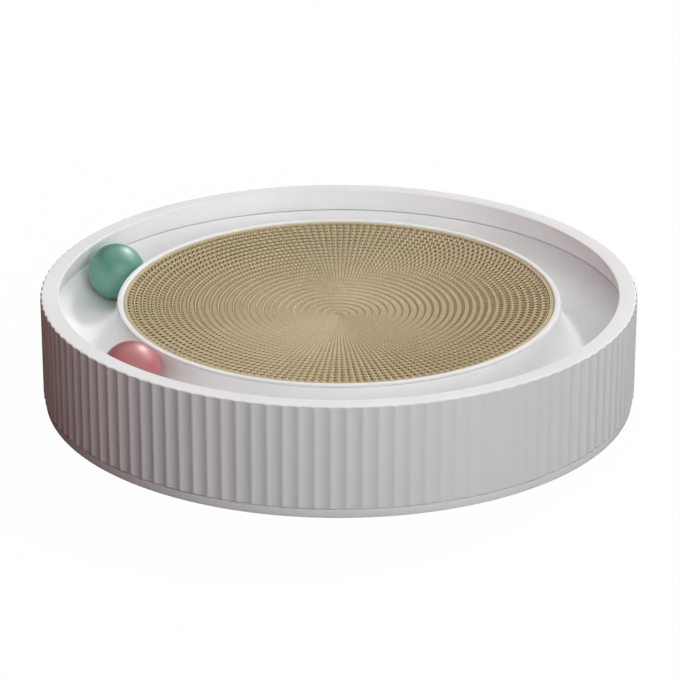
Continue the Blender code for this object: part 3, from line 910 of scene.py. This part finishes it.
@dataclass
class PadCup:
    """Cup with a raised lip that holds the pad."""

    well_radius: float = 0.1451
    wall: float = 0.0022
    lip_outer: float = 0.1492
    lip_top: float = 0.0697
    lip_thickness: float = 0.0012
    inner_round: float = 0.0012
    outer_round: float = 0.0009
    floor_edge: float = 0.0386
    floor_centre: float = 0.0265
    floor_thickness: float = 0.0022
    foot: float = 0.0038

    def profile(self) -> list[RingPoint]:
        """Floor, well, lip and outer wall.

        Returns:
            Its points.
        """
        outer = self.well_radius + self.wall
        lip_low = self.lip_top - self.lip_thickness
        return [
            *plain((0.0, self.floor_centre), (self.well_radius, self.floor_edge)),
            *arc((self.well_radius + self.inner_round, self.lip_top - self.inner_round),
                 self.inner_round, 180, 90, 6),
            *arc((self.lip_outer - self.outer_round, self.lip_top - self.outer_round),
                 self.outer_round, 90, 0, 5),
            *plain((self.lip_outer, lip_low), (outer, lip_low), (outer, self.foot),
                   (self.well_radius, self.foot),
                   (self.well_radius, self.floor_edge - self.floor_thickness),
                   (0.0, self.floor_centre - self.floor_thickness)),
        ]

    def build(self) -> None:
        """Make the cup."""
        cup = lathe("pad_cup_with_lip", self.profile(), even_angles(FINE_TURN))
        settle(cup, WHITE_PLASTIC)
        place(cup, Body.DRUM, Slot.WHITE, "pad_cup")


@dataclass
class PaperSection:
    """Section of standing paper at one angle: radius and top of its inner and outer side."""

    angle: float
    inner: tuple[float, float]
    outer: tuple[float, float]


def strip(name: str, sections: list[PaperSection], height: float) -> Object:
    """A length of paper standing on edge round the drum's axis.

    Args:
        name: Name of the object.
        sections: Sections along the paper.
        height: Height of the paper.

    Returns:
        The object.
    """
    vertices, faces = [], []
    for section in sections:
        near, near_top = section.inner
        far, far_top = section.outer
        foot = far_top - height
        vertices += [polar(far, section.angle, far_top), polar(near, section.angle, near_top),
                     polar(near, section.angle, foot), polar(far, section.angle, foot)]
    end = 4 * (len(sections) - 1)
    for here in range(0, end, 4):
        for corner in range(4):
            other = (corner + 1) % 4
            faces.append((here + corner, here + other, here + 4 + other, here + 4 + corner))
    faces += [(0, 1, 2, 3), (end + 3, end + 2, end + 1, end)]
    return new_object(name, vertices, faces)


@dataclass
class CorrugatedPad:
    """Round dished pad: one strip of corrugated board wound edge-up, wrapped in plain liner."""

    radius: float = 0.1448
    edge_top: float = 0.0689
    dish: float = 0.0121
    thickness: float = 0.0300
    pitch: float = 0.0051
    wrap: float = 0.0024
    wrap_layers: int = 4
    wrap_gap: float = 0.0001
    wrap_chamfer: float = 0.0001
    layer_step: float = 0.00012
    layer_section: tuple[tuple[float, float], ...] = (
        (0.00006, -0.00008), (0.00014, 0.0), (-0.00014, 0.0), (-0.00006, -0.00008))
    flutes_per_turn: int = 180
    liner: float = 0.0007
    liner_proud: float = 0.00005
    least_liner: float = 0.0002
    least_flute: float = 0.06
    overlap: float = 0.0001
    clearance: float = 0.00002
    first_radius: float = 0.0008
    last_azimuth: float = math.pi
    outer_hollow: float = 0.0026
    inner_hollow: float = 0.0020
    outer_shape: tuple[float, ...] = (1.0, 0.8, 0.0, 0.0, 0.0, 0.8)
    inner_shape: tuple[float, ...] = (0.0, 0.0, 0.6, 1.0, 0.6, 0.0)
    solid_radius: float = 0.03
    full_radius: float = 0.12
    groove: float = 0.0014
    groove_shape: tuple[float, ...] = (1.0, 0.6, 0.1, 0.0, 0.1, 0.6)
    tilt: float = 0.0004

    def top(self, radius: float) -> float:
        """Height of the dished upper face at a radius."""
        return self.edge_top - self.dish * (1 - radius / self.radius)

    def outermost(self) -> float:
        """Outer radius of the last turn, which lies against the wrap."""
        return self.radius - self.wrap - self.wrap_gap

    def edge(self, turns: float) -> float:
        """Outer radius of the winding after some turns."""
        return max(0.0, min(self.outermost(), turns * self.pitch))

    def level(self, turns: float) -> float:
        """Height of the board's upper edge after some turns."""
        return self.top((self.edge(turns - 1.0) + self.edge(turns)) / 2)

    def angle(self, turns: float) -> float:
        """Angle round the drum's axis after some turns."""
        return self.last_azimuth - (turns - self.outermost() / self.pitch) * math.tau

    def dip(self, phase: int, radius: float) -> float:
        """Depth of the hollow between two flutes at a phase of the fluting."""
        return self.groove * self.groove_shape[phase] * radius / self.radius

    def liner_section(self, turns: float, phase: int) -> PaperSection | None:
        """Section of the plain liner.

        Args:
            turns: Turns from the start of the winding.
            phase: Step within a flute.

        Returns:
            The section, or None where the liner has none.
        """
        near, far = self.edge(turns - 1.0), self.edge(turns)
        thick = min(self.liner, far - near)
        if phase % 2 or thick <= self.least_liner:
            return None
        dip = self.dip(phase, far)
        return PaperSection(self.angle(turns), (near, self.level(turns - 1.0) - self.tilt - dip),
                            (near + thick, self.level(turns) + self.liner_proud - dip))

    def flute_section(self, turns: float, phase: int) -> PaperSection | None:
        """Section of the fluted paper, which fills the space outside the liner.

        Args:
            turns: Turns from the start of the winding.
            phase: Step within a flute.

        Returns:
            The section, or None where there is no room for flutes.
        """
        near, far = self.edge(turns - 1.0), self.edge(turns)
        share = (far - near - self.liner) / (self.pitch - self.liner)
        if share <= self.least_flute:
            return None
        openness = (far - self.solid_radius) / (self.full_radius - self.solid_radius)
        depth = share * max(0.0, min(1.0, openness))
        hollow = self.inner_hollow * self.inner_shape[phase] * depth
        inner = near + self.liner - self.overlap + hollow
        outer = far - self.clearance - self.outer_hollow * self.outer_shape[phase] * depth
        level = self.level(turns) - self.dip(phase, far)
        return PaperSection(self.angle(turns), (inner, level), (outer, level - self.tilt))

    def build_winding(self) -> None:
        """The wound strip: a plain liner inside, and the fluted paper outside it."""
        steps = len(self.outer_shape)
        per_turn = self.flutes_per_turn * steps
        first = int(self.first_radius / self.pitch * per_turn)
        last = int((self.outermost() / self.pitch + 1.0) * per_turn)
        for name, section, finish in (("wound_liner", self.liner_section, LINER),
                                      ("wound_flutes", self.flute_section, BOARD)):
            sections = filter(None, (section(index / per_turn, index % steps)
                                     for index in range(first, last)))
            paper = strip(name, list(sections), self.thickness)
            settle(paper, finish, BOARD_ANGLE)
            place(paper, Body.PAD, Slot.BOARD, "pad_winding", "pad_core")

    def build_wrap(self) -> None:
        """The plain liner glued round the outside, several layers thick."""
        layer = self.wrap / self.wrap_layers
        inner = self.radius - self.wrap
        top, low = self.top(self.radius), self.top(self.radius) - self.thickness
        profile = plain((inner, low), (inner, self.top(inner)))
        for number in range(self.wrap_layers):
            start = inner + layer * number
            level = self.top(start + layer / 2) - self.layer_step * (number % 2)
            for offset, rise in self.layer_section:
                side = start if offset > 0 else start + layer
                profile += plain((side + offset, level + rise))
        profile += plain((self.radius, top - self.wrap_chamfer), (self.radius, low))
        wrap = lathe("pad_paper_wrap", profile, even_angles(FINE_TURN))
        settle(wrap, LINER)
        place(wrap, Body.PAD, Slot.LINER, "pad_wrap")

    def build(self) -> None:
        """Make the pad."""
        self.build_winding()
        self.build_wrap()


@dataclass
class Ball:
    """Hollow ball of two welded halves; its seam runs along the track."""

    colour: str
    azimuth: float
    finish: Finish
    slot: Slot
    body: Body
    radius: float = 0.0196
    wall: float = 0.0022
    track_radius: float = 0.1697
    height: float = 0.0602
    seam: float = 0.000005
    seam_round: float = 0.00003
    outer_last: float = 86.0
    inner_last: float = 84.0
    sides: int = 96

    def half_profile(self) -> list[RingPoint]:
        """One half's section, with a softened edge at the seam.

        Returns:
            Its points.
        """
        inner = self.radius - self.wall
        lowest = math.degrees((self.seam + self.seam_round) / self.radius)
        inside = math.degrees(self.seam / inner)
        return [
            (0.0, self.radius, 0.0),
            *arc((0.0, 0.0), self.radius, self.outer_last, lowest, 30),
            (self.radius - self.seam_round, self.seam, 0.0),
            *arc((0.0, 0.0), inner, inside, self.inner_last, 16),
            (0.0, inner, 0.0),
        ]

    def build(self) -> None:
        """Make both halves."""
        turn = math.radians(self.azimuth)
        centre = polar(self.track_radius, turn, self.height)
        for side, sign in (("outer", 1.0), ("inner", -1.0)):
            half = lathe(f"{self.colour}_{side}_half_shell", self.half_profile(),
                         even_angles(self.sides))
            facing = polar(sign, turn).to_track_quat("Z", "Y")
            half.data.transform(Matrix.Translation(centre) @ facing.to_matrix().to_4x4())
            settle(half, self.finish)
            place(half, self.body, self.slot, f"{self.colour}_ball_{side}_half")

    def dress_bell(self) -> None:
        """Give the bell inside, and its pellet, their plated steel."""
        for name in (f"{self.colour}_ball_bell", f"{self.colour}_ball_bell_pellet"):
            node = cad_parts[name]
            node.data.materials.clear()
            node.data.materials.append(STEEL.material())
            LOG.info("%s keeps its packed shape", name)


@dataclass(frozen=True)
class SkyLobe:
    """A soft patch of light in the sky; edge is the cosine of the angle where it ends."""

    azimuth: float
    elevation: float
    edge: float
    strength: float
    tint: Colour = (1.0, 1.0, 1.0)
    reflected: float = 1.0

    def build(self, nodes: Nodes) -> NodeSocket:
        """The patch's brightness in each direction, with its own factor in reflections.

        Args:
            nodes: The world's node tree.

        Returns:
            The socket of the brightness.
        """
        looked_at = nodes.add("ShaderNodeTexCoord").outputs["Generated"]
        centre = direction(self.azimuth, self.elevation)
        dot = nodes.add("ShaderNodeVectorMath", {0: looked_at, 1: centre},
                        operation="DOT_PRODUCT")
        share = nodes.add("ShaderNodeMapRange", {
            "Value": dot.outputs["Value"], 1: self.edge, 2: 1.0, 3: 0.0, 4: self.strength},
            interpolation_type="SMOOTHSTEP")
        glossy = nodes.add("ShaderNodeLightPath").outputs["Is Glossy Ray"]
        factor = nodes.spread(glossy, low=1.0, high=self.reflected, start=0.0, end=1.0)
        brightness = nodes.add("ShaderNodeMath", {0: share.outputs["Result"], 1: factor},
                               operation="MULTIPLY")
        return brightness.outputs[0]


@dataclass
class Studio:
    """Pale floor, plain light and the camera at the photograph's angle."""

    focal_pixels: float = 3173.0
    image_pixels: float = 680.0
    elevation: float = math.radians(21.86)
    distance: float = 2.138
    centre: tuple[float, float] = (338.8, 286.3)
    target_height: float = 0.0772
    sensor: float = 36.0
    key_azimuth: float = 62.0
    key_elevation: float = 38.0
    key_strength: float = 1.1
    key_angle: float = 7.0
    lobes: tuple[SkyLobe, ...] = (
        SkyLobe(120.0, 66.0, 0.90, 3.3, reflected=0.25),
        SkyLobe(297.0, 24.0, 0.81, 3.5, reflected=0.2),
        SkyLobe(32.0, 42.0, 0.89, 1.6, reflected=1.7),
        SkyLobe(174.0, 5.0, 0.80, 0.56, (1.0, 0.05, 0.0)),
    )
    floor_colour: float = 0.02
    floor_white: float = 0.98
    floor_reach: float = 6.0
    floor_drop: float = 0.0001

    def build_camera(self) -> None:
        """The camera, from the lens and place worked out from the photograph."""
        data = bpy.data.cameras.new("photo_camera")
        data.sensor_width = self.sensor
        data.lens = self.focal_pixels / self.image_pixels * self.sensor
        half = self.image_pixels / 2
        data.shift_x = (half - self.centre[0]) / self.image_pixels
        data.shift_y = (self.centre[1] - half) / self.image_pixels
        camera = add_object("photo_camera", data)
        rise = self.distance * math.sin(self.elevation)
        away = self.distance * math.cos(self.elevation)
        camera.location = (0.0, -away, self.target_height + rise)
        camera.rotation_euler = (math.pi / 2 - self.elevation, 0.0, 0.0)
        bpy.context.scene.camera = camera

    def build_key(self) -> None:
        """A soft key light from behind, on the right."""
        data = bpy.data.lights.new("key_light", "SUN")
        data.energy = self.key_strength
        data.angle = math.radians(self.key_angle)
        light = add_object("key_light", data)
        source = direction(self.key_azimuth, self.key_elevation)
        light.rotation_euler = source.to_track_quat("Z", "Y").to_euler()

    def build_world(self) -> None:
        """Soft boxes overhead, in front and behind, and a little warm light from the left."""
        world = bpy.data.worlds.new("studio")
        bpy.context.scene.world = world
        world.use_nodes = True
        nodes = Nodes(world.node_tree)
        light = nodes.add("ShaderNodeCombineXYZ").outputs[0]
        for lobe in self.lobes:
            inputs = {0: lobe.tint, 1: lobe.build(nodes), 2: light}
            light = nodes.add("ShaderNodeVectorMath", inputs, operation="MULTIPLY_ADD").outputs[0]
        shown = nodes.mix(self.seen(nodes), light, (1.0, 1.0, 1.0))
        nodes.feed(world.node_tree.nodes["Background"], {"Color": shown})

    def seen(self, nodes: Nodes) -> NodeSocket:
        """Whether a ray comes from the camera, straight or through something clear.

        Args:
            nodes: The node tree that asks.

        Returns:
            The socket of 1 for such a ray and 0 for others.
        """
        path = nodes.add("ShaderNodeLightPath").outputs
        larger = nodes.add("ShaderNodeMath", {0: path["Is Camera Ray"],
                                              1: path["Is Transmission Ray"]},
                           operation="MAXIMUM")
        return larger.outputs[0]

    def build_floor(self) -> None:
        """A large pale floor that keeps the object's shadow."""
        reach = self.floor_reach
        corners = [(x * reach, y * reach, -self.floor_drop) for x, y in SQUARE]
        floor = new_object("studio_floor", corners, [(0, 1, 2, 3)])
        material = bpy.data.materials.new("studio_floor")
        material.use_nodes = True
        material.node_tree.nodes.clear()
        nodes = Nodes(material.node_tree)
        grey = self.floor_colour
        diffuse = nodes.add("ShaderNodeBsdfDiffuse", {"Color": (grey, grey, grey, 1.0)})
        strength = nodes.add("ShaderNodeMath", {0: self.seen(nodes), 1: self.floor_white},
                             operation="MULTIPLY")
        glow = nodes.add("ShaderNodeEmission", {"Strength": strength.outputs[0]})
        both = nodes.add("ShaderNodeAddShader", {0: diffuse.outputs[0], 1: glow.outputs[0]})
        nodes.add("ShaderNodeOutputMaterial", {"Surface": both.outputs[0]})
        floor.data.materials.append(material)

    def build(self) -> None:
        """Set up the whole studio."""
        self.build_camera()
        self.build_key()
        self.build_world()
        self.build_floor()


def main() -> None:
    """Build every sub-assembly in order."""
    logging.basicConfig(level=logging.INFO, format="%(message)s")
    bpy.context.scene.view_settings.view_transform = "Standard"
    Studio().build()
    OuterShell().build()
    base = BasePlate()
    base.build()
    Foot().build(base.foot_centres())
    Screw().build(base.screw_nodes())
    TrackTray().build()
    PadCup().build()
    CorrugatedPad().build()
    balls = (Ball("green", 155.7, GREEN_PLASTIC, Slot.GREEN, Body.GREEN_BALL),
             Ball("coral", 218.0, CORAL_PLASTIC, Slot.CORAL, Body.CORAL_BALL))
    for ball in balls:
        ball.build()
        ball.dress_bell()


if __name__ == "__main__":
    main()
